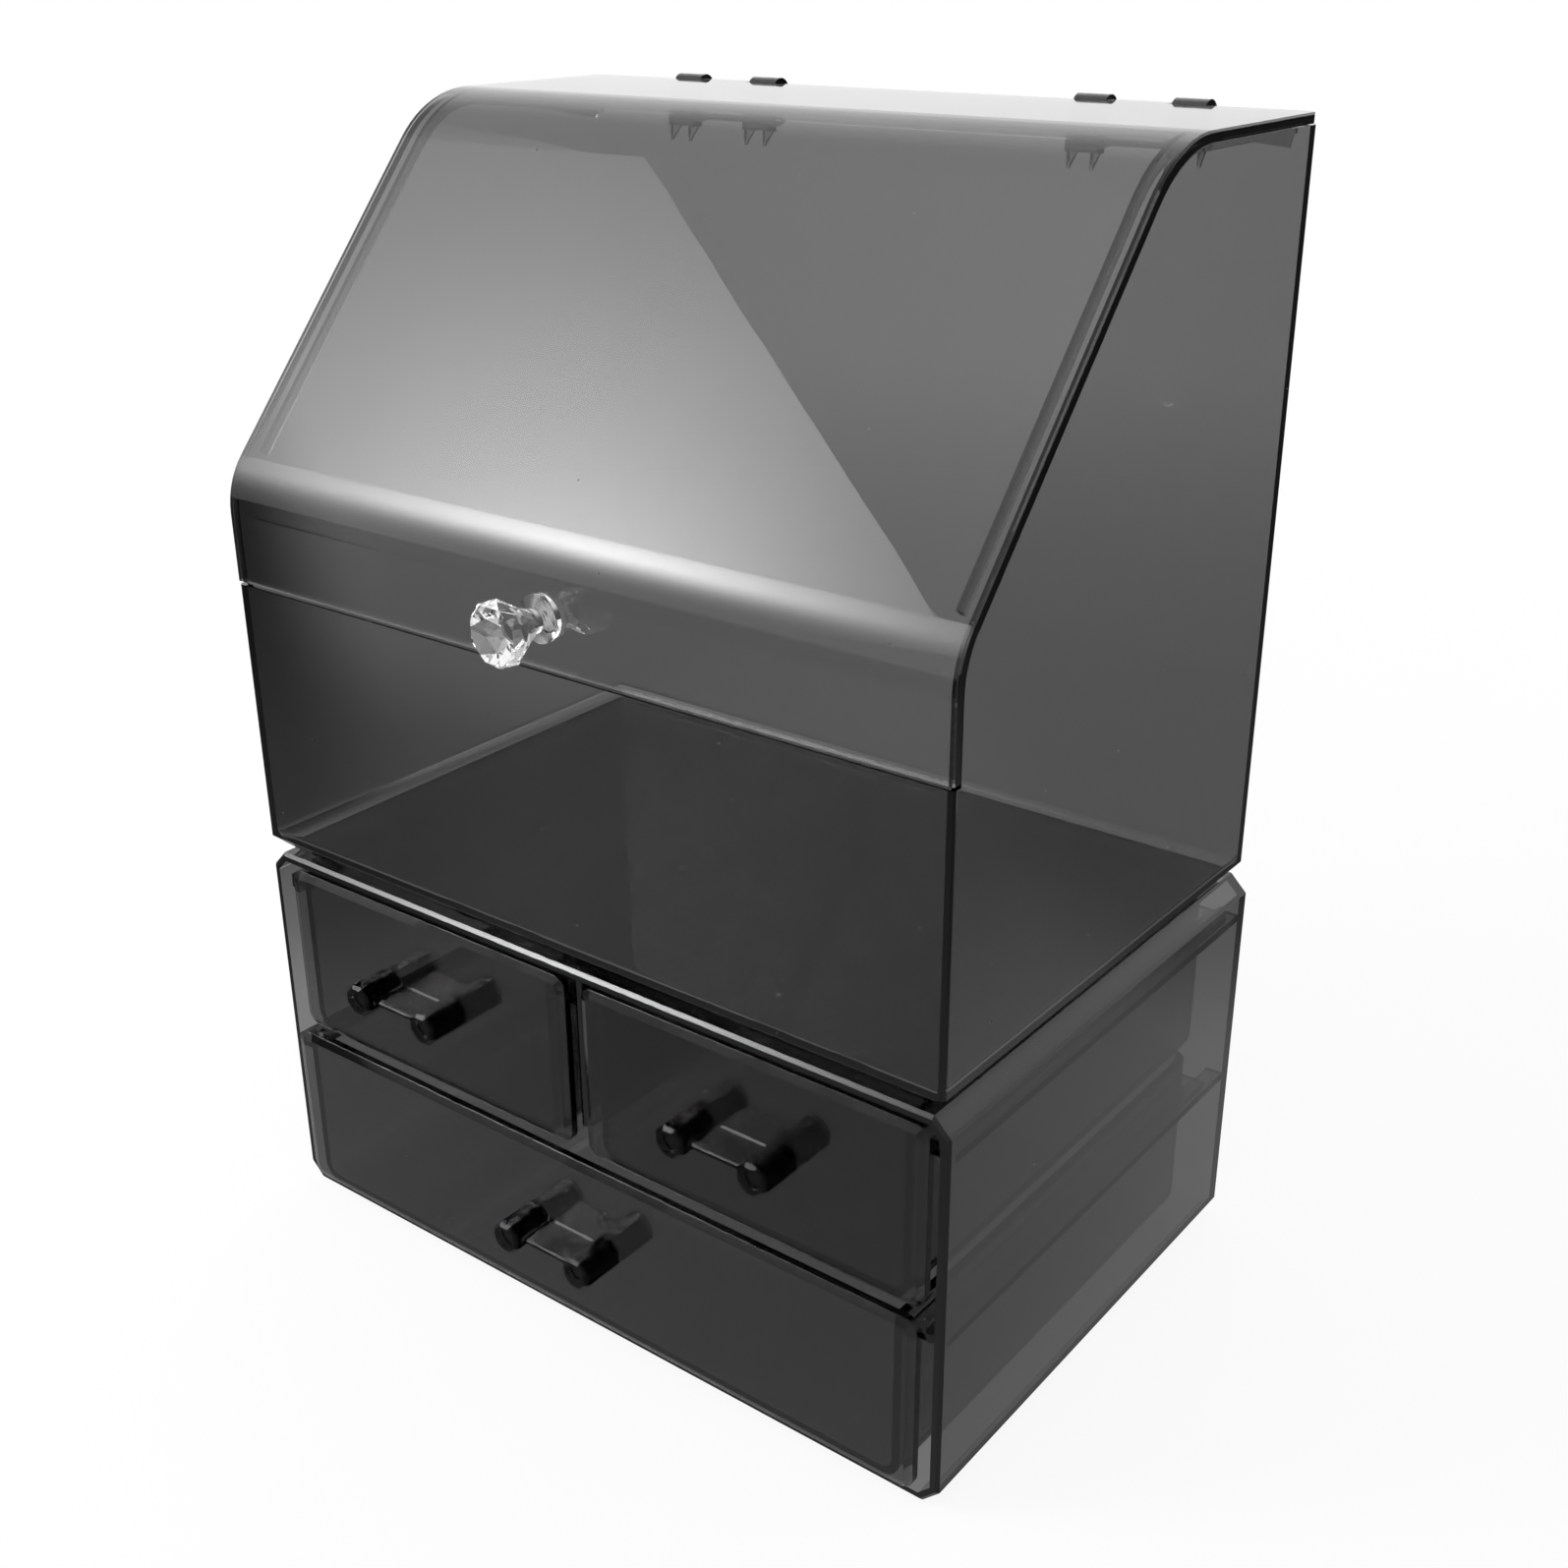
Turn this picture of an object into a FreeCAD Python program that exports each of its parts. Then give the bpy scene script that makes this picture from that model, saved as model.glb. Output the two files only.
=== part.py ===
import FreeCAD, Part
import math
import os

V = FreeCAD.Vector

# Makeup organizer in millimetres. X runs to the right as seen from the front, Y to the back, Z up.
# The origin is the middle of the base, on the surface that the case stands on.

# Drawer case
case_width = 240.0
case_depth = 156.0
case_height = 116.0
case_wall = 2.5
case_chamfer = 5.0
rim_break = 0.9
ledge_width = 5.0
ledge_thickness = 2.3
ledge_drop = 6.2
divider_thickness = 2.5
divider_lift = 6.0
divider_setback = 4.0

# Drawers
front_thickness = 3.0
front_corner_radius = 4.0
front_bevel_width = 2.4
front_bevel_depth = 0.9
front_arris_radius = 0.3
front_recess = 0.7
front_floor_gap = 2.0
front_top_gap = 2.5
front_spacing = 0.8
bottom_front_height = 53.0
bottom_front_side_gap = 3.5
upper_front_side_gap = 4.0
upper_front_divider_gap = 1.75
tray_wall = 2.4
tray_corner_radius = 6.0
tray_overhang = 4.6
tray_inner_overhang = 5.0
tray_lift = 0.2
tray_rim_drop = 0.6
tray_back_gap = 1.0
flange_thickness = 2.0
flange_side_gap = 0.5
slide_clearance = 0.3
bottom_drawer_open = 4.0

# Drawer handles
post_flats = 9.2
post_length = 14.0
post_spacing = 26.3
post_bevel = 0.9
post_recess_radius = 2.8
post_recess_depth = 1.2
web_thickness = 1.6
web_setback = 2.7
web_break = 0.4
spigot_radius = 2.0
spigot_clearance = 0.05
spigot_back_gap = 0.2
upper_handle_rise = 2.15
bottom_handle_rise = 2.3

# Display box
box_width = 237.0
box_depth = 156.0
box_forward = 1.0
box_wall = 2.5
box_floor = 3.5
box_foot_bevel = 5.5
box_corner_radius = 1.5
box_floor_radius = 4.5
box_front_height = 83.0

# Lid
lid_top_rise = 208.1
lid_thickness = 2.6
lid_top_length = 72.5
lid_top_radius = 35.0
lid_flap_height = 28.0
lid_brow_radius = 23.0
lid_edge_break = 0.5
lid_corner_radius = 3.0
lid_rest_gap = 0.3
lid_front_gap = 1.0
lip_thickness = 1.6
lip_side_gap = 2.5
lip_depth = 2.4
lip_rear_depth = 5.5
lip_rear_gap = 1.5
lip_wedge_length = 24.0
lip_wedge_slant = 3.0
lip_bend_gap = 3.0

# Hinges
hinge_pair_centre = 68.75
lug_spacing = 28.5
lug_length = 9.6
lug_radius = 4.0
lug_drop = 6.6
gusset_spacing = 7.0
gusset_thickness = 1.0
gusset_drop = 6.0
hinge_wall_gap = 0.3
hinge_end_gap = 0.4
pin_radius = 1.2
pin_lug_clearance = 0.03
pin_knuckle_clearance = 0.08
pin_recess = 0.5
heel_reach = 4.0
heel_drop = 2.65

# Knob bonded to the lid's front flap
knob_rise = 13.5
knob_sides = 8
knob_base_radius = 6.2
knob_base_thickness = 1.8
knob_base_taper = 1.4
knob_neck_radius = 3.4
knob_neck_length = 4.8
knob_waist_radius = 6.2
knob_waist_station = 10.3
knob_girdle_radius = 8.9
knob_girdle_station = 15.0
knob_table_radius = 7.6
knob_length = 17.2

# Places worked out from the sizes above
case_front = -case_depth / 2
case_back = case_depth / 2
case_inner = case_width / 2 - case_wall
case_inner_chamfer = case_chamfer - case_wall * (2 - math.sqrt(2))
front_face = case_front + front_recess
front_back = front_face + front_thickness
tray_back = case_back - case_wall - tray_back_gap
bottom_front_low = case_wall + front_floor_gap
bottom_front_high = bottom_front_low + bottom_front_height
upper_front_low = bottom_front_high + front_spacing
upper_front_high = case_height - case_wall - front_top_gap
divider_face = divider_thickness / 2
divider_bottom = upper_front_low + divider_lift
box_front = -box_depth / 2 - box_forward
box_back = box_depth / 2 - box_forward
box_half = box_width / 2
box_inner = box_half - box_wall
box_base = case_height
box_front_top = box_base + box_front_height
flap_bottom = box_front_top + lid_front_gap
lid_brow = flap_bottom + lid_flap_height
lid_top_height = box_base + lid_top_rise
lid_top_front = box_back - lid_top_length
lid_underside = lid_top_height - lid_thickness
hinge_y = box_back + lug_radius + hinge_wall_gap
hinge_z = lid_underside - lid_rest_gap / 2
knuckle_radius = lid_top_height - hinge_z
knob_height = flap_bottom + knob_rise


def block(x0, x1, y0, y1, z0, z1):
    return Part.makeBox(x1 - x0, y1 - y0, z1 - z0, V(x0, y0, z0))


def cylinder_y(radius, x, z, y0, y1):
    return Part.makeCylinder(radius, y1 - y0, V(x, y0, z), V(0, 1, 0))


def cylinder_x(radius, y, z, x0, x1):
    return Part.makeCylinder(radius, x1 - x0, V(x0, y, z), V(1, 0, 0))


def polygon_face(points):
    return Part.Face(Part.makePolygon(points + points[:1]))


def prism_y(outline, y0, y1):
    """Extrudes an outline of (x, z) points from y0 to y1."""
    return polygon_face([V(x, y0, z) for x, z in outline]).extrude(V(0, y1 - y0, 0))


def prism_x(outline, x0, x1):
    """Extrudes an outline of (y, z) points from x0 to x1."""
    return polygon_face([V(x0, y, z) for y, z in outline]).extrude(V(x1 - x0, 0, 0))


def mirror_x(shape):
    return shape.mirror(V(0, 0, 0), V(1, 0, 0))


def near(value, target):
    return abs(value - target) < 1e-4


def edges_where(shape, test):
    """Edges whose every point passes the test."""
    return [edge for edge in shape.Edges if all(test(point) for point in edge.discretize(5))]


def cut_corners(half_width, low, high, chamfer):
    """Outline of a rectangle with its four corners cut at 45 degrees, as (x, z) points."""
    return [
        (half_width - chamfer, low),
        (half_width, low + chamfer),
        (half_width, high - chamfer),
        (half_width - chamfer, high),
        (chamfer - half_width, high),
        (-half_width, high - chamfer),
        (-half_width, low + chamfer),
        (chamfer - half_width, low),
    ]


def rounded_rectangle(half_x, y0, y1, z, radius):
    """Closed wire in a level plane, with four round corners."""
    corners = [(half_x, y0, -90), (half_x, y1, 0), (-half_x, y1, 90), (-half_x, y0, 180)]
    edges = []
    ends = []
    for x, y, start in corners:
        centre = V(x - math.copysign(radius, x), y + (radius if y == y0 else -radius), z)
        arc = [centre + V(math.cos(a), math.sin(a), 0) * radius
               for a in (math.radians(start + step) for step in (0, 45, 90))]
        edges.append(Part.Arc(*arc).toShape())
        ends.append((arc[0], arc[2]))
    for this, following in zip(ends, ends[1:] + ends[:1]):
        edges.append(Part.makeLine(this[1], following[0]))
    return Part.Wire(Part.__sortEdges__(edges))


def ledge_top(front_high):
    return front_high - ledge_drop


def make_drawer_case():
    shell = prism_y(cut_corners(case_width / 2, 0, case_height, case_chamfer), case_front, case_back)
    outer_rim = edges_where(shell, lambda p: near(p.y, case_front))
    shell = shell.makeChamfer(rim_break, outer_rim)
    inside = cut_corners(case_inner, case_wall, case_height - case_wall, case_inner_chamfer)
    shell = shell.cut(prism_y(inside, case_front - case_wall, case_back - case_wall))
    runner_front = case_front + divider_setback
    runner_back = case_back - case_wall
    added = [block(-divider_face, divider_face, runner_front, runner_back,
                   divider_bottom, case_height - case_wall)]
    for front_high in (bottom_front_high, upper_front_high):
        top = ledge_top(front_high)
        ledge = block(case_inner - ledge_width, case_inner, runner_front, runner_back,
                      top - ledge_thickness, top)
        added += [ledge, mirror_x(ledge)]
    top = ledge_top(upper_front_high)
    added.append(block(-divider_face - ledge_width, divider_face + ledge_width, runner_front, runner_back,
                       top - ledge_thickness, top))
    return shell.fuse(added).removeSplitter()


def make_drawer(left, right, low, high, flange_left, flange_right,
                inset_left, inset_right, handle_z, pulled):
    """Tray, front plate and handle of one drawer, shut and then pulled out by the last value."""
    middle = (left + right) / 2
    post_places = [middle - post_spacing / 2, middle + post_spacing / 2]

    plate = make_front(left, right, low, high)
    for x in post_places:
        plate = plate.cut(cylinder_y(spigot_radius + spigot_clearance, x, handle_z, front_face, front_back))

    side_left = left + inset_left
    side_right = right - inset_right
    floor = low + tray_lift
    rim = high - tray_rim_drop
    tray = rounded_tray(side_left, side_right, front_back, tray_back, floor, rim, tray_corner_radius)
    hollow = rounded_tray(side_left + tray_wall, side_right - tray_wall, front_back, tray_back - tray_wall,
                          floor + tray_wall, rim, tray_corner_radius - tray_wall)
    flange_low = ledge_top(high) + slide_clearance
    flange_end = tray_back - tray_corner_radius
    flanges = [block(x0, x1, front_back, flange_end, flange_low, flange_low + flange_thickness)
               for x0, x1 in ((flange_left, side_left + tray_wall), (side_right - tray_wall, flange_right))]
    tray = tray.fuse(flanges).cut(hollow).removeSplitter()

    handle = make_handle(post_places, handle_z)
    pull = V(0, -pulled, 0)
    return [piece.translated(pull) for piece in (tray, plate, handle)]


def front_outline(left, right, low, high, y, inset):
    """Round-cornered outline of a drawer front, set in all round, as a wire at a place along y."""
    sheet = block(left + inset, right - inset, y, y + front_thickness, low + inset, high - inset)
    corners = edges_where(sheet, lambda p: (near(p.x, left + inset) or near(p.x, right - inset))
                          and (near(p.z, low + inset) or near(p.z, high - inset)))
    sheet = sheet.makeFillet(front_corner_radius - inset, corners)
    return Part.Wire(Part.__sortEdges__(edges_where(sheet, lambda p: near(p.y, y))))


def make_front(left, right, low, high):
    """Drawer front with a flat bevel round its face and a slightly broken edge behind the bevel."""
    bevel_back = front_face + front_bevel_depth
    face = front_outline(left, right, low, high, front_face, front_bevel_width)
    full = front_outline(left, right, low, high, bevel_back, 0)
    bevel = Part.makeLoft([face, full], True, True)
    body = Part.Face(full).extrude(V(0, front_back - bevel_back, 0))
    plate = bevel.fuse(body).removeSplitter()
    return plate.makeFillet(front_arris_radius, edges_where(plate, lambda p: near(p.y, bevel_back)))


def rounded_tray(x0, x1, y0, y1, z0, z1, radius):
    """Block whose bottom, back and back corner edges are round."""
    body = block(x0, x1, y0, y1, z0, z1)
    sides = edges_where(body, lambda p: near(p.z, z0) and (near(p.x, x0) or near(p.x, x1)))
    uprights = edges_where(body, lambda p: near(p.y, y1) and (near(p.x, x0) or near(p.x, x1)))
    heel = edges_where(body, lambda p: near(p.y, y1) and near(p.z, z0))
    return body.makeFillet(radius, sides + uprights + heel)


def octagon(x, z, flats):
    """Corners of a regular octagon with level top and bottom sides, as (x, z) points."""
    radius = flats / 2 / math.cos(math.pi / 8)
    angles = [math.pi / 8 + math.pi / 4 * side for side in range(8)]
    return [(x + radius * math.cos(a), z + radius * math.sin(a)) for a in angles]


def make_handle(post_places, z):
    tip = front_face - post_length
    stations = [(front_face, -post_bevel), (front_face - post_bevel, 0),
                (tip + post_bevel, 0), (tip, -post_bevel)]
    solids = []
    for x in post_places:
        rings = []
        for y, grow in stations:
            corners = [V(cx, y, cz) for cx, cz in octagon(x, z, post_flats + 2 * grow)]
            rings.append(Part.makePolygon(corners + corners[:1]))
        post = Part.makeLoft(rings, True, True)
        post = post.cut(cylinder_y(post_recess_radius, x, z, tip, tip + post_recess_depth))
        solids.append(post)
        solids.append(cylinder_y(spigot_radius, x, z, front_face, front_back - spigot_back_gap))
    web_front = tip + web_setback
    web = block(post_places[0], post_places[1], web_front, front_face,
                z - web_thickness / 2, z + web_thickness / 2)
    solids.append(web.makeChamfer(web_break, edges_where(web, lambda p: near(p.y, web_front))))
    return solids[0].fuse(solids[1:]).removeSplitter()


def lid_lines(depth):
    """Corners of the lid's side profile as (y, z), set in by a depth, and the radii of its two bends."""
    front = box_front + depth
    top = lid_top_height - depth
    rise = lid_top_height - lid_brow
    run = lid_top_front - box_front
    length = math.hypot(run, rise)
    slope_y = lid_top_front + depth * rise / length
    slope_z = lid_top_height - depth * run / length
    top_corner = slope_y + (top - slope_z) * run / rise
    brow_corner = slope_z + (front - slope_y) * rise / run
    return (top_corner, top), (front, brow_corner), (lid_top_radius - depth, lid_brow_radius - depth)


def lid_edges(depth, rear, low):
    """Edges of the lid's side profile from the back edge to the lower edge, on the plane x = 0."""
    top_corner, brow_corner, radii = lid_lines(depth)
    points = [V(0, rear, top_corner[1]), V(0, *top_corner), V(0, *brow_corner), V(0, brow_corner[0], low)]
    edges = []
    start = points[0]
    for before, corner, after, radius in zip(points, points[1:], points[2:], radii):
        along_in = (corner - before).normalize()
        along_out = (after - corner).normalize()
        turn = along_in.getAngle(along_out)
        reach = radius * math.tan(turn / 2)
        first = corner - along_in * reach
        last = corner + along_out * reach
        inward = (along_out - along_in).normalize()
        middle = corner + inward * (radius / math.cos(turn / 2) - radius)
        edges.append(Part.makeLine(start, first))
        edges.append(Part.Arc(first, middle, last).toShape())
        start = last
    edges.append(Part.makeLine(start, points[-1]))
    return edges


def wide_solid(edges, half_width):
    """Extrudes a closed run of edges on the plane x = 0 to both sides."""
    face = Part.Face(Part.Wire(Part.__sortEdges__(edges)))
    return face.translated(V(-half_width, 0, 0)).extrude(V(2 * half_width, 0, 0))


def line_yz(start, end):
    return Part.makeLine(V(0, *start), V(0, *end))


def make_display_box():
    wall_depth = lid_thickness + lid_rest_gap
    bevel_top = box_base + box_foot_bevel
    foot = Part.makeLoft([
        rounded_rectangle(box_half - box_foot_bevel, box_front + box_foot_bevel, box_back - box_foot_bevel,
                          box_base, box_corner_radius),
        rounded_rectangle(box_half, box_front, box_back, bevel_top, box_corner_radius),
    ], True, True)
    column = Part.Face(rounded_rectangle(box_half, box_front, box_back, bevel_top, box_corner_radius))
    column = column.extrude(V(0, 0, lid_top_height - bevel_top))
    wall_face = box_front + wall_depth
    wall_top = lid_top_height - wall_depth
    profile = lid_edges(wall_depth, box_back, box_front_top)
    profile.append(line_yz((wall_face, box_front_top), (box_front, box_front_top)))
    profile.append(line_yz((box_front, box_front_top), (box_front, bevel_top)))
    profile.append(line_yz((box_front, bevel_top), (box_back, bevel_top)))
    profile.append(line_yz((box_back, bevel_top), (box_back, wall_top)))
    walls = wide_solid(profile, box_half).common(column)
    body = foot.fuse(walls)

    hollow_floor = box_base + box_floor
    hollow = block(-box_inner, box_inner, box_front + box_wall, box_back - box_wall,
                   hollow_floor, lid_top_height)
    hollow = hollow.makeFillet(box_floor_radius, edges_where(hollow, lambda p: near(p.z, hollow_floor)))
    body = body.cut(hollow)

    for place in hinge_places():
        for lug in (place - lug_spacing / 2, place + lug_spacing / 2):
            body = body.fuse(make_lug(lug))
    for place in hinge_places():
        reach = lug_spacing / 2 + lug_length
        body = body.cut(cylinder_x(pin_radius + pin_lug_clearance, hinge_y, hinge_z,
                                   place - reach, place + reach))
    return body.removeSplitter()


def hinge_places():
    return (-hinge_pair_centre, hinge_pair_centre)


def make_lug(centre):
    """One hinge lug on the outer face of the back wall, with two ribs under it."""
    x0 = centre - lug_length / 2
    x1 = centre + lug_length / 2
    shelf = hinge_z - lug_drop
    inside = box_back - box_wall / 2
    solids = [cylinder_x(lug_radius, hinge_y, hinge_z, x0, x1),
              block(x0, x1, inside, hinge_y, shelf, hinge_z - lid_rest_gap)]
    rib_low = shelf - gusset_drop
    rib = [(inside, shelf), (hinge_y, shelf), (box_back, rib_low), (inside, rib_low)]
    for x in (centre - gusset_spacing / 2, centre + gusset_spacing / 2):
        solids.append(prism_x(rib, x - gusset_thickness / 2, x + gusset_thickness / 2))
    return solids[0].fuse(solids[1:]).removeSplitter()


def make_lid():
    sheet_edges = lid_edges(0, box_back, flap_bottom) + lid_edges(lid_thickness, box_back, flap_bottom)
    sheet_edges.append(line_yz((box_back, lid_underside), (box_back, lid_top_height)))
    sheet_edges.append(line_yz((box_front, flap_bottom), (box_front + lid_thickness, flap_bottom)))
    sheet = wide_solid(sheet_edges, box_half)
    outside = [edge for side in (-box_half, box_half)
               for edge in edges_where(sheet, lambda p: near(p.x, side) and on_outer_face(p))]
    sheet = sheet.makeChamfer(lid_edge_break, outside)
    sheet = sheet.makeFillet(lid_corner_radius, edges_where(sheet, is_back_corner))
    added = make_lips()
    for place in hinge_places():
        added.append(make_knuckle(place))
    sheet = sheet.fuse(added)
    for place in hinge_places():
        sheet = sheet.cut(cylinder_x(pin_radius + pin_knuckle_clearance, hinge_y, hinge_z,
                                     place - lug_spacing / 2, place + lug_spacing / 2))
    return sheet.removeSplitter()


def is_back_corner(point):
    """True for a point on one of the lid's two upright back edges."""
    return near(point.y, box_back) and near(abs(point.x), box_half)


def on_outer_face(point):
    """True for a point on the lid's outer profile, away from its inner one."""
    outline = Part.Wire(Part.__sortEdges__(lid_edges(0, box_back, flap_bottom)))
    flat = Part.Vertex(V(0, point.y, point.z))
    return outline.distToShape(flat)[0] < 1e-3


def make_knuckle(place):
    """Knuckle of the lid between two lugs, with a heel that stops the opened lid at the back wall."""
    half = lug_spacing / 2 - lug_length / 2 - hinge_end_gap
    x0 = place - half
    x1 = place + half
    arm = block(x0, x1, box_back - lid_thickness, hinge_y, lid_underside, lid_top_height)
    heel = block(x0, x1, hinge_y, hinge_y + heel_reach, hinge_z - heel_drop, hinge_z)
    barrel = cylinder_x(knuckle_radius, hinge_y, hinge_z, x0, x1)
    return barrel.fuse([arm, heel]).removeSplitter()


def make_lips():
    """Rib along each side under the lid, inside the side wall, deeper at the back, ending at the brow."""
    outer = box_inner - lip_side_gap
    inner = outer - lip_thickness
    root = lid_thickness / 2
    tip = lid_thickness + lip_depth
    rear = box_back - box_wall - lip_rear_gap
    edges = lid_edges(root, rear, flap_bottom) + lid_edges(tip, rear, flap_bottom)
    edges.append(line_yz((rear, lid_top_height - root), (rear, lid_top_height - tip)))
    edges.append(line_yz((box_front + root, flap_bottom), (box_front + tip, flap_bottom)))
    rib = Part.Face(Part.Wire(Part.__sortEdges__(edges)))
    rib = rib.translated(V(inner, 0, 0)).extrude(V(lip_thickness, 0, 0))
    wedge = prism_x([(rear, lid_top_height - root), (rear - lip_wedge_slant, lid_underside - lip_rear_depth),
                     (rear - lip_wedge_length, lid_underside - lip_depth),
                     (rear - lip_wedge_length, lid_top_height - root)], inner, outer)

    top_corner, brow_corner, radii = lid_lines(lid_thickness)
    rise = (V(0, *top_corner) - V(0, *brow_corner)).normalize()
    across = V(0, rise.z, -rise.y) * box_depth
    turn = math.pi / 2 - math.atan2(rise.z, rise.y)
    end = V(0, *brow_corner) + rise * (radii[1] * math.tan(turn / 2) + lip_bend_gap)
    past_end = end - rise * box_depth
    front = prism_x([(p.y, p.z) for p in (end + across, end - across, past_end - across, past_end + across)],
                    0, box_half)
    lip = rib.fuse(wedge).cut(front).removeSplitter()
    return [lip, mirror_x(lip)]


def make_pin(place):
    reach = lug_spacing / 2 + lug_length / 2 - pin_recess
    return cylinder_x(pin_radius, hinge_y, hinge_z, place - reach, place + reach)


def ring(radius, station, turned):
    """Corners of one ring of the knob, a distance in front of the flap."""
    step = 2 * math.pi / knob_sides
    angles = [step * (corner + (0.5 if turned else 0)) for corner in range(knob_sides)]
    y = box_front - station
    return [V(radius * math.cos(a), y, knob_height + radius * math.sin(a)) for a in angles]


def make_knob():
    """Round base, round neck and a flaring head. Each ring is turned by half a side from the one before."""
    neck_end = knob_neck_length
    rings = [ring(knob_neck_radius, neck_end, False),
             ring(knob_waist_radius, knob_waist_station, True),
             ring(knob_girdle_radius, knob_girdle_station, False),
             ring(knob_table_radius, knob_length, True)]
    faces = [polygon_face(rings[0]), polygon_face(rings[-1])]
    for level, (lower, upper) in enumerate(zip(rings, rings[1:])):
        ahead = 0 if level % 2 == 0 else 1
        for corner in range(knob_sides):
            following = (corner + 1) % knob_sides
            middle = upper[(corner + ahead) % knob_sides]
            previous = upper[(corner + ahead - 1) % knob_sides]
            faces.append(polygon_face([lower[corner], lower[following], middle]))
            faces.append(polygon_face([lower[corner], middle, previous]))
    head = Part.Solid(Part.Shell(faces))
    if head.Volume < 0:
        head.reverse()
    flat = cylinder_y(knob_base_radius, 0, knob_height, box_front - knob_base_thickness, box_front)
    shoulder = Part.makeCone(knob_base_radius, knob_neck_radius, knob_base_taper,
                             V(0, box_front - knob_base_thickness, knob_height), V(0, -1, 0))
    neck = cylinder_y(knob_neck_radius * math.cos(math.pi / knob_sides), 0, knob_height,
                      box_front - neck_end, box_front - knob_base_thickness)
    return head.fuse([flat, shoulder, neck]).removeSplitter()


def make_drawers():
    """Trays, fronts and handles of the three drawers, by node name."""
    flange_reach = case_inner - flange_side_gap
    flange_middle = divider_face + flange_side_gap
    upper_outer = case_inner - upper_front_side_gap
    upper_inner = divider_face + upper_front_divider_gap
    bottom_half = case_inner - bottom_front_side_gap
    upper_handle = (upper_front_low + upper_front_high) / 2 + upper_handle_rise
    bottom_handle = (bottom_front_low + bottom_front_high) / 2 + bottom_handle_rise
    drawers = {
        "left": make_drawer(-upper_outer, -upper_inner, upper_front_low, upper_front_high,
                            -flange_reach, -flange_middle, tray_overhang, tray_inner_overhang,
                            upper_handle, 0),
        "right": make_drawer(upper_inner, upper_outer, upper_front_low, upper_front_high,
                             flange_middle, flange_reach, tray_inner_overhang, tray_overhang,
                             upper_handle, 0),
        "bottom": make_drawer(-bottom_half, bottom_half, bottom_front_low, bottom_front_high,
                              -flange_reach, flange_reach, tray_overhang, tray_overhang,
                              bottom_handle, bottom_drawer_open),
    }
    return {f"{side}_drawer_{kind}": piece for side, pieces in drawers.items()
            for kind, piece in zip(("tray", "front", "handle"), pieces)}


def make_pieces():
    pieces = {"drawer_case": make_drawer_case()}
    pieces.update(make_drawers())
    pieces["display_box"] = make_display_box()
    pieces["lid"] = make_lid()
    for side, place in zip(("left", "right"), hinge_places()):
        pieces[f"{side}_hinge_pin"] = make_pin(place)
    pieces["lid_knob"] = make_knob()
    return pieces


def main():
    os.makedirs("parts", exist_ok=True)
    for name, shape in make_pieces().items():
        shape.exportStep(f"parts/{name}.step")
        print(name, "solids", len(shape.Solids), "valid", shape.isValid(), "volume", round(shape.Volume, 1))


main()
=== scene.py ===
import bpy
from mathutils import Matrix, Quaternion, Vector

# Camera of the photograph, in metres
CAMERA_PLACE = (0.31547, -0.39331, 0.36592)
CAMERA_TURN = (0.794886, 0.514782, 0.17703, 0.267983)
CAMERA_LENS = 44.164
CAMERA_SENSOR = 36.0
CAMERA_NEAR = 0.01

# Plastic
PLASTIC_IOR = 1.49
SMOKE_TINT = (0.02, 0.02, 0.025, 1)
SMOKE_DENSITY = 330.0
HANDLE_DENSITY = 700.0
HANDLE_IOR = 1.25
SMOKED_SMUDGE_SCALE = 45.0
CLEAR_SMUDGE_SCALE = 220.0
SMUDGE_DETAIL = 4.0
SMUDGE_SPAN = (0.5, 0.8)
SMUDGE_ROUGHNESS = 0.05
DUST_SCALE = 170.0
DUST_SIZE = 0.05
DUST_SHARE = 0.12
DUST_ROUGHNESS = 0.7
WAVE_SCALE = 24.0
WAVE_DETAIL = 1.0
WAVE_HEIGHT = 0.00004
CONTACT_GAP = 0.00002

# Steel of the hinge pins
STEEL_GRAIN_SCALE = 900.0
STEEL_GRAIN_DETAIL = 3.0
STEEL_GRAIN_SPAN = (0.2, 0.8)
STEEL_SMOOTHEST = 0.22
STEEL_ROUGHEST = 0.4
STEEL_DARK = (0.42, 0.42, 0.43, 1)
STEEL_LIGHT = (0.68, 0.68, 0.69, 1)

# Plain white, and directions
WHITE = (1, 1, 1, 1)
LEFT = (-1, 0, 0)
BACK = (0, 1, 0)

# White paper that the organizer stands on. A SPAN is where a change starts and ends: metres along
# a WAY, or from the origin.
FLOOR_LEVEL = -0.0004
FLOOR_REACH = 12.0
PAPER_COLOUR = (0.95, 0.95, 0.95, 1)
PAPER_SHADOW = 0.1
PAPER_SHADOW_SPAN = (0.25, 0.9)
# Painted shade on the paper's reflection in plastic: dimmer in front and far to the right and left.
MIRROR_FRONT_PAINTED_SHADE = 0.17
MIRROR_BACK = 0.37
MIRROR_WAY = (0.6, 0.8, 0)
MIRROR_SPAN = (-0.5, 0.2)
FAR_RIGHT_PAINTED_SHADE = 0.62
FAR_RIGHT_AWAY_SPAN = (0.22, 0.42)
FAR_RIGHT_WAY = (0.8, 0.6, 0)
FAR_RIGHT_SPAN = (0.05, 0.25)
FAR_LEFT_PAINTED_SHADE = 0.6
FAR_LEFT_AWAY_SPAN = (0.22, 0.33)
FAR_LEFT_WAY = (0.7071, -0.7071, 0)
FAR_LEFT_SPAN = (-0.02, 0.05)
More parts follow.
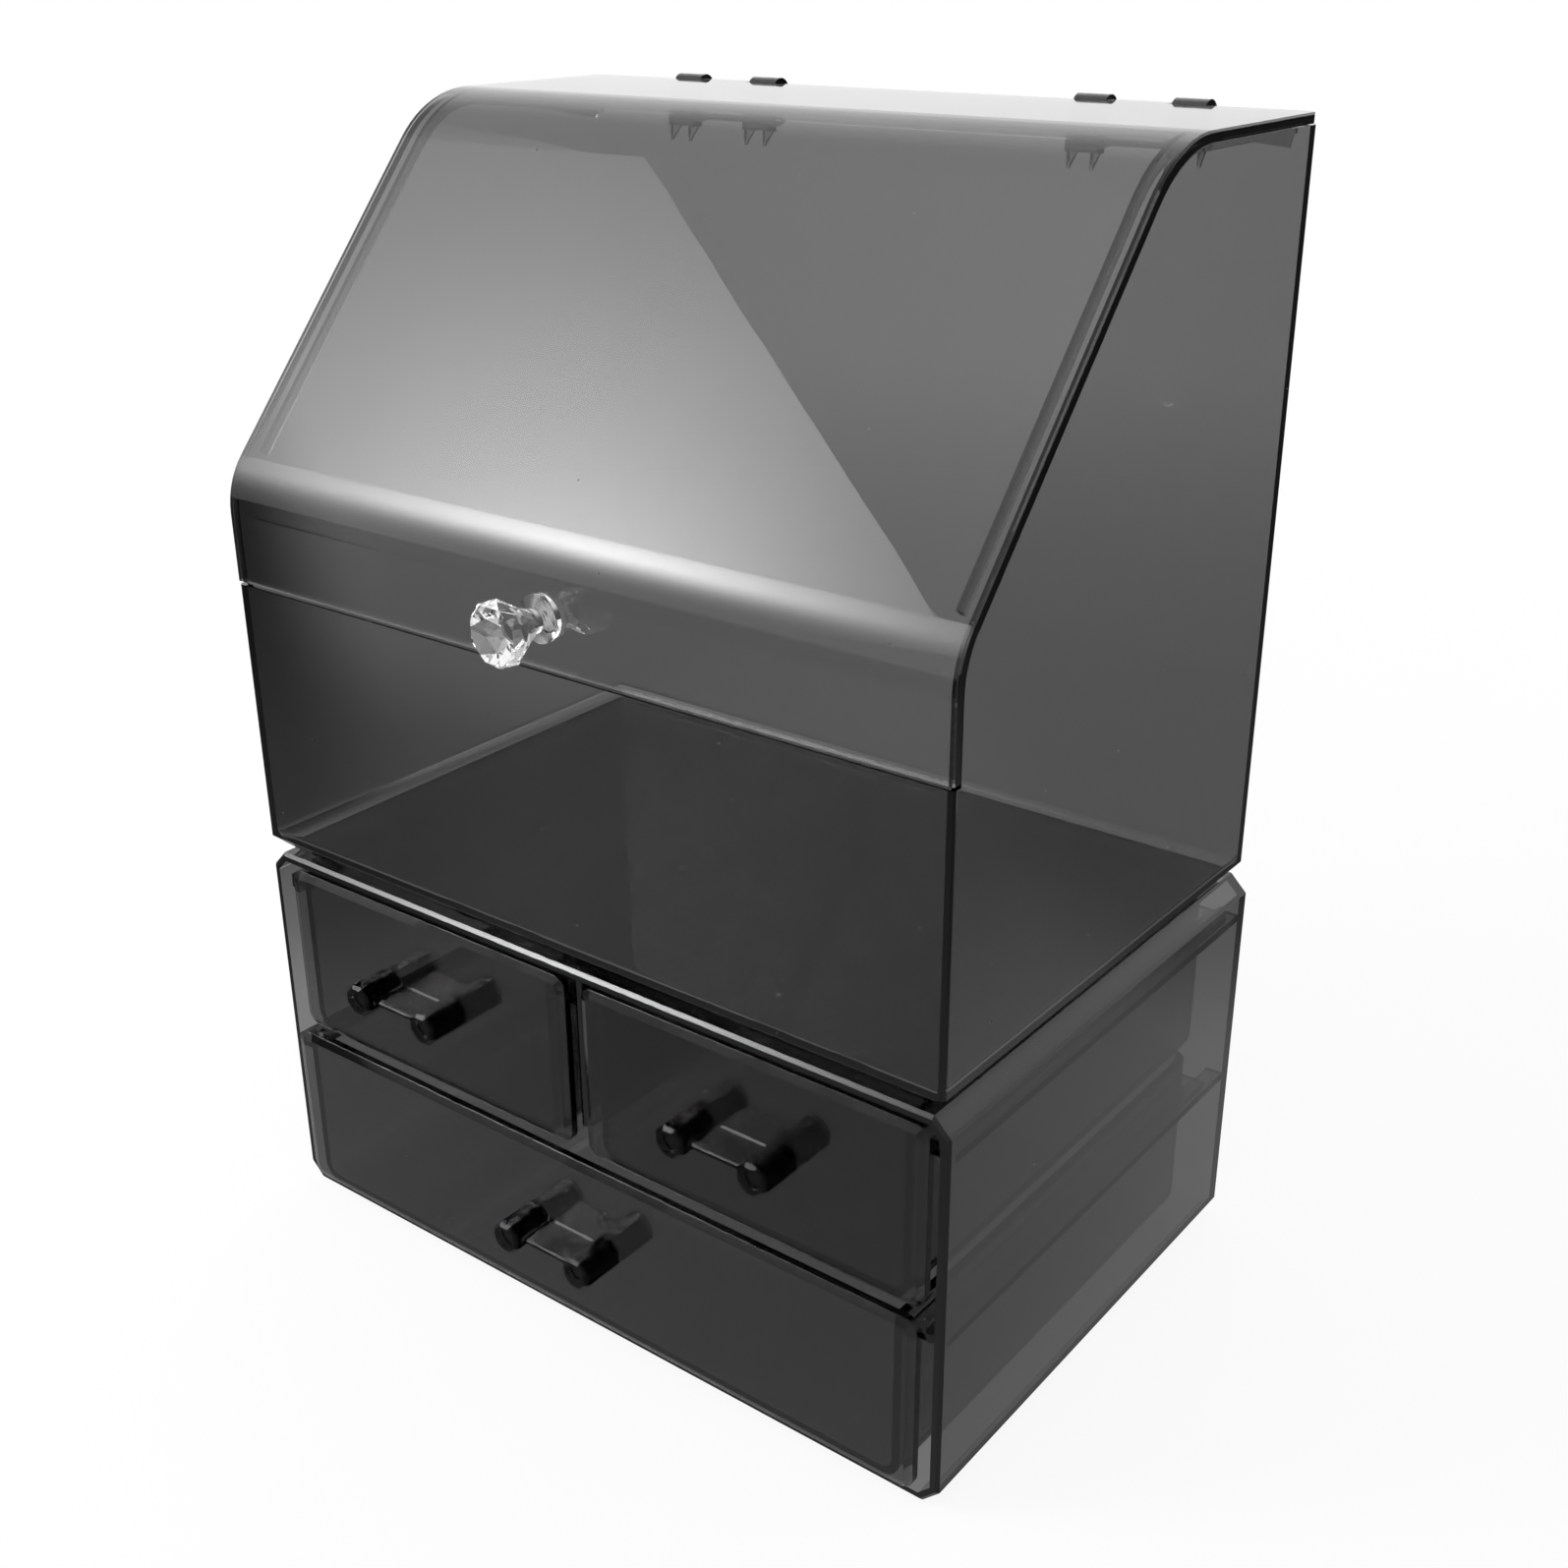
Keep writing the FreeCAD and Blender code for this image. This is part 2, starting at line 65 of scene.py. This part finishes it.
# Painted shade on the paper seen through plastic: dimmer near the organizer, to its left and past the
# paper's edge.
THROUGH_NEAR_PAINTED_SHADE = 0.5
THROUGH_FAR = 1.0
THROUGH_SPAN = (0.25, 1.4)
PAPER_EDGE_PAINTED_SHADE = 0.93
PAPER_EDGE_LEFT_SPAN = (0.27, 0.36)
PAPER_EDGE_WAY = (0.5816, 0.8135, 0)
PAPER_EDGE_SPAN = (-0.125, -0.05)
LEFT_SIDE_PAINTED_SHADE = 0.5
LEFT_SIDE_LEFT_SPAN = (0.20, 0.28)
LEFT_SIDE_BACK_SPAN = (0.17, 0.30)

# Room, and the light card to the front left; each SPOT is a direction on the card, a middle and a
# half-width
ROOM_FRONT = 0.6
ROOM_BACK = 1.2
ROOM_SPAN = (0.2, 0.6)
CARD_CENTRE = (-0.780, -0.472, 1.079)
CARD_FACING = (0.65, 0.36, -0.67)
CARD_RIGHT = (0.484, -0.875, 0.0)
CARD_CORNERS = ((-0.60, -1.0), (0.80, -1.0), (0.80, 0.2174), (-0.60, 0.0865))
CARD_PEAK = 15.3
CARD_EDGE = 0.6
SPOT_LONG = ((-0.6628, 0.7488, 0), -0.3170, 0.5446)
SPOT_SHORT = ((0.7488, 0.6628, 0), 0.0135, 0.4435)
SPOT_FALL = -3.81

# Light paths through many layers of plastic
DEEP_BOUNCES = 48
SHALLOW_BOUNCES = 24

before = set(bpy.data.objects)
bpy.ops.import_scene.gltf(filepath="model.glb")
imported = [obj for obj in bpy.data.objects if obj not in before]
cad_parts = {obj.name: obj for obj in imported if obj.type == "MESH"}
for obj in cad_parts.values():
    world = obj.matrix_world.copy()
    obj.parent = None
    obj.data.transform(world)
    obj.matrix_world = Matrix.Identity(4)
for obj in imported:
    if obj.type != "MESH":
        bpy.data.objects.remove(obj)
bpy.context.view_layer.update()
scene = bpy.context.scene


def add(tree, kind, values=None, **settings):
    """New shader node with its settings and its inputs' values."""
    node = tree.nodes.new(kind)
    for key, value in settings.items():
        setattr(node, key, value)
    for key, value in (values or {}).items():
        node.inputs[key].default_value = value
    return node


def maths(tree, operation, *values):
    """Output of a Math node whose inputs are numbers or other nodes' outputs."""
    node = add(tree, "ShaderNodeMath", operation=operation)
    for socket, value in zip(node.inputs, values):
        if isinstance(value, (int, float)):
            socket.default_value = value
        else:
            tree.links.new(value, socket)
    return node.outputs["Value"]


def ramp(tree, value, span, start, end):
    """Smooth change from start to end while the value goes across the span."""
    limits = {"From Min": span[0], "From Max": span[1], "To Min": start, "To Max": end}
    node = add(tree, "ShaderNodeMapRange", limits, interpolation_type="SMOOTHSTEP")
    tree.links.new(value, node.inputs["Value"])
    return node.outputs["Result"]


def along(tree, place, direction):
    """Distance along a direction, from the origin."""
    node = add(tree, "ShaderNodeVectorMath", {1: direction}, operation="DOT_PRODUCT")
    tree.links.new(place, node.inputs[0])
    return node.outputs["Value"]


def dimmed(tree, base, *shares):
    """Brightness that is left when each share is taken off in turn."""
    for share in shares:
        base = maths(tree, "MULTIPLY", base, maths(tree, "SUBTRACT", 1.0, share))
    return base


def noise(tree, place, scale, detail):
    """Height of a cloudy pattern, from 0 to 1."""
    node = add(tree, "ShaderNodeTexNoise", {"Scale": scale, "Detail": detail})
    tree.links.new(place, node.inputs["Vector"])
    return node.outputs["Fac"]


def new_tree(name):
    """New material, its empty node tree and the tree's output node."""
    material = bpy.data.materials.new(name)
    material.use_nodes = True
    tree = material.node_tree
    tree.nodes.clear()
    return material, tree, add(tree, "ShaderNodeOutputMaterial")


def object_place(tree):
    """Coordinates that stay with the piece."""
    return add(tree, "ShaderNodeTexCoord").outputs["Object"]


def dust(tree, place):
    """1 on a few small specks, 0 elsewhere; a share of the pattern's cells holds one speck each."""
    cells = add(tree, "ShaderNodeTexVoronoi", {"Scale": DUST_SCALE})
    tree.links.new(place, cells.inputs["Vector"])
    chance = add(tree, "ShaderNodeSeparateColor")
    tree.links.new(cells.outputs["Color"], chance.inputs["Color"])
    chosen = maths(tree, "LESS_THAN", chance.outputs["Red"], DUST_SHARE)
    speck = maths(tree, "MULTIPLY", chance.outputs["Green"], DUST_SIZE)
    inside = maths(tree, "LESS_THAN", cells.outputs["Distance"], speck)
    return maths(tree, "MULTIPLY", chosen, inside)


def plastic(name, smudge_scale, ior=PLASTIC_IOR):
    """Clear glossy plastic with faint smudges, dust specks and a barely wavy surface."""
    material, tree, output = new_tree(name)
    link = tree.links.new
    body = add(tree, "ShaderNodeBsdfPrincipled", {
        "Base Color": WHITE, "IOR": ior, "Transmission Weight": 1.0})
    link(body.outputs["BSDF"], output.inputs["Surface"])
    place = object_place(tree)
    cloud = noise(tree, place, smudge_scale, SMUDGE_DETAIL)
    smudge = ramp(tree, cloud, SMUDGE_SPAN, 0.0, SMUDGE_ROUGHNESS)
    specks = maths(tree, "MULTIPLY", dust(tree, place), DUST_ROUGHNESS)
    link(maths(tree, "MAXIMUM", smudge, specks), body.inputs["Roughness"])
    wave = add(tree, "ShaderNodeBump", {"Distance": WAVE_HEIGHT})
    link(noise(tree, place, WAVE_SCALE, WAVE_DETAIL), wave.inputs["Height"])
    link(wave.outputs["Normal"], body.inputs["Normal"])
    return material


def smoked_plastic(name, density, ior=PLASTIC_IOR):
    """The same plastic, tinted: it takes light along the path inside it."""
    material = plastic(name, SMOKED_SMUDGE_SCALE, ior)
    tree = material.node_tree
    smoke = add(tree, "ShaderNodeVolumeAbsorption", {"Color": SMOKE_TINT, "Density": density})
    output = next(node for node in tree.nodes if node.type == "OUTPUT_MATERIAL")
    tree.links.new(smoke.outputs["Volume"], output.inputs["Volume"])
    return material


def steel(name):
    """Drawn steel with uneven shine."""
    material, tree, output = new_tree(name)
    link = tree.links.new
    metal = add(tree, "ShaderNodeBsdfPrincipled", {"Metallic": 1.0})
    link(metal.outputs["BSDF"], output.inputs["Surface"])
    grain = noise(tree, object_place(tree), STEEL_GRAIN_SCALE, STEEL_GRAIN_DETAIL)
    shine = ramp(tree, grain, STEEL_GRAIN_SPAN, STEEL_SMOOTHEST, STEEL_ROUGHEST)
    link(shine, metal.inputs["Roughness"])
    tone = add(tree, "ShaderNodeValToRGB")
    tone.color_ramp.elements[0].color = STEEL_DARK
    tone.color_ramp.elements[1].color = STEEL_LIGHT
    link(grain, tone.inputs["Fac"])
    link(tone.outputs["Color"], metal.inputs["Base Color"])
    return material


def finish_of(name):
    """Finish of a piece, by the last word of its name."""
    last = name.split("_")[-1]
    return {"pin": "steel", "knob": "clear"}.get(last, last)


def dress_pieces():
    """Gives each piece its material, and a hair's gap to a piece that it touches."""
    materials = {kind: smoked_plastic("smoked_" + kind, SMOKE_DENSITY)
                 for kind in ("case", "tray", "front", "box", "lid")}
    materials["handle"] = smoked_plastic("smoked_handle", HANDLE_DENSITY, HANDLE_IOR)
    materials["clear"] = plastic("clear_knob", CLEAR_SMUDGE_SCALE)
    materials["steel"] = steel("drawn_steel")
    for name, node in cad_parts.items():
        kind = finish_of(name)
        node.data.materials.clear()
        node.data.materials.append(materials[kind])
        if kind in ("box", "tray", "handle", "clear"):
            gap = node.modifiers.new("contact_gap", "DISPLACE")
            gap.mid_level = 0.0
            gap.strength = -CONTACT_GAP


def sheet(name, corners):
    """Flat staged four-cornered object."""
    mesh = bpy.data.meshes.new(name)
    mesh.from_pydata(corners, [], [(0, 1, 2, 3)])
    thing = bpy.data.objects.new(name, mesh)
    scene.collection.objects.link(thing)
    return thing


def painted_shade_seen_through(tree, place, away):
    """Brightness of the paper seen through plastic, with painted shade: dimmer near the organizer and to
    its left.
    """
    base = ramp(tree, away, THROUGH_SPAN, THROUGH_NEAR_PAINTED_SHADE, THROUGH_FAR)
    left = along(tree, place, LEFT)
    edge = along(tree, place, PAPER_EDGE_WAY)
    shade_past_edge = maths(tree, "MULTIPLY", ramp(tree, left, PAPER_EDGE_LEFT_SPAN, 0.0, PAPER_EDGE_PAINTED_SHADE),
                      ramp(tree, edge, PAPER_EDGE_SPAN, 1.0, 0.0))
    back = along(tree, place, BACK)
    left_side_shade = maths(tree, "MULTIPLY", ramp(tree, left, LEFT_SIDE_LEFT_SPAN, 0.0, LEFT_SIDE_PAINTED_SHADE),
                      ramp(tree, back, LEFT_SIDE_BACK_SPAN, 1.0, 0.0))
    return dimmed(tree, base, shade_past_edge, left_side_shade)


def painted_shade_mirrored(tree, place, away):
    """Brightness of the paper mirrored in plastic, with painted shade: dimmer in front, far to the left
    and to the right.
    """
    base = ramp(tree, along(tree, place, MIRROR_WAY), MIRROR_SPAN, MIRROR_FRONT_PAINTED_SHADE, MIRROR_BACK)
    right = along(tree, place, FAR_RIGHT_WAY)
    far_right_shade = maths(tree, "MULTIPLY", ramp(tree, away, FAR_RIGHT_AWAY_SPAN, 0.0, FAR_RIGHT_PAINTED_SHADE),
                      ramp(tree, right, FAR_RIGHT_SPAN, 0.0, 1.0))
    left = along(tree, place, FAR_LEFT_WAY)
    far_left_shade = maths(tree, "MULTIPLY", ramp(tree, away, FAR_LEFT_AWAY_SPAN, 0.0, FAR_LEFT_PAINTED_SHADE),
                     ramp(tree, left, FAR_LEFT_SPAN, 1.0, 0.0))
    return dimmed(tree, base, far_right_shade, far_left_shade)


def make_floor():
    """White paper. It is white for the camera, and dimmer with painted shade where it is mirrored or
    seen through.
    """
    far = FLOOR_REACH
    corners = ((-far, -far), (far, -far), (far, far), (-far, far))
    floor = sheet("floor", [(x, y, FLOOR_LEVEL) for x, y in corners])
    material, tree, output = new_tree("floor_paper")
    link = tree.links.new
    place = object_place(tree)
    length = add(tree, "ShaderNodeVectorMath", operation="LENGTH")
    link(place, length.inputs[0])
    away = length.outputs["Value"]
    path = add(tree, "ShaderNodeLightPath")
    shown = path.outputs["Is Camera Ray"]
    through = path.outputs["Is Transmission Ray"]
    mirrored = maths(tree, "GREATER_THAN", path.outputs["Is Glossy Ray"], through)

    clear = ramp(tree, away, PAPER_SHADOW_SPAN, 1.0 - PAPER_SHADOW, 1.0)
    in_plastic = maths(tree, "MAXIMUM", mirrored, through)
    share = maths(tree, "MULTIPLY", clear, maths(tree, "MAXIMUM", shown, in_plastic))
    painted_mirrored_glow = maths(tree, "MULTIPLY", mirrored, painted_shade_mirrored(tree, place, away))
    painted_through_glow = maths(tree, "MULTIPLY", through, painted_shade_seen_through(tree, place, away))
    glow = maths(tree, "ADD", maths(tree, "ADD", shown, painted_mirrored_glow), painted_through_glow)

    paper = add(tree, "ShaderNodeBsdfDiffuse", {"Color": PAPER_COLOUR})
    white = add(tree, "ShaderNodeEmission", {"Color": WHITE})
    link(glow, white.inputs["Strength"])
    mix = add(tree, "ShaderNodeMixShader")
    link(share, mix.inputs["Fac"])
    link(paper.outputs["BSDF"], mix.inputs[1])
    link(white.outputs["Emission"], mix.inputs[2])
    link(mix.outputs["Shader"], output.inputs["Surface"])
    floor.data.materials.append(material)


def make_room():
    """White room, brighter behind the organizer than in front of it and overhead."""
    world = bpy.data.worlds.new("room")
    scene.world = world
    world.use_nodes = True
    tree = world.node_tree
    tree.nodes.clear()
    output = add(tree, "ShaderNodeOutputWorld")
    place = add(tree, "ShaderNodeTexCoord").outputs["Generated"]
    level = ramp(tree, along(tree, place, BACK), ROOM_SPAN, ROOM_FRONT, ROOM_BACK)
    path = add(tree, "ShaderNodeLightPath")
    seen = maths(tree, "MAXIMUM", path.outputs["Is Camera Ray"], path.outputs["Is Transmission Ray"])
    sky = add(tree, "ShaderNodeBackground", {"Color": WHITE})
    tree.links.new(maths(tree, "ADD", seen, dimmed(tree, level, seen)), sky.inputs["Strength"])
    tree.links.new(sky.outputs["Background"], output.inputs["Surface"])


def make_card():
    """Light card with a long bright spot on it."""
    card = sheet("light_card", [(s, t, 0) for s, t in CARD_CORNERS])
    right = Vector(CARD_RIGHT).normalized()
    up = right.cross(Vector(CARD_FACING).normalized())
    turn = Matrix((right, up, right.cross(up))).transposed()
    card.matrix_world = Matrix.Translation(CARD_CENTRE) @ turn.to_4x4()
    card.visible_camera = False
    material, tree, output = new_tree("card_cloth")
    place = object_place(tree)
    spread = 1.0
    for direction, middle, width in (SPOT_LONG, SPOT_SHORT):
        offset = maths(tree, "SUBTRACT", along(tree, place, direction), middle)
        share = maths(tree, "DIVIDE", offset, width)
        spread = maths(tree, "ADD", spread, maths(tree, "POWER", share, 2.0))
    spot = maths(tree, "MULTIPLY", maths(tree, "POWER", spread, SPOT_FALL), CARD_PEAK)
    cloth = add(tree, "ShaderNodeEmission", {"Color": WHITE})
    tree.links.new(maths(tree, "ADD", spot, CARD_EDGE), cloth.inputs["Strength"])
    tree.links.new(cloth.outputs["Emission"], output.inputs["Surface"])
    card.data.materials.append(material)


def make_camera():
    """Camera at the photograph's place and angle."""
    camera = bpy.data.cameras.new("camera")
    camera.sensor_width = CAMERA_SENSOR
    camera.lens = CAMERA_LENS
    camera.clip_start = CAMERA_NEAR
    eye = bpy.data.objects.new("camera", camera)
    scene.collection.objects.link(eye)
    eye.location = CAMERA_PLACE
    eye.rotation_mode = "QUATERNION"
    eye.rotation_quaternion = Quaternion(CAMERA_TURN)
    scene.camera = eye


scene.view_settings.view_transform = "Standard"
scene.cycles.max_bounces = DEEP_BOUNCES
scene.cycles.transmission_bounces = DEEP_BOUNCES
scene.cycles.glossy_bounces = SHALLOW_BOUNCES
scene.cycles.transparent_max_bounces = SHALLOW_BOUNCES
dress_pieces()
make_floor()
make_room()
make_card()
make_camera()
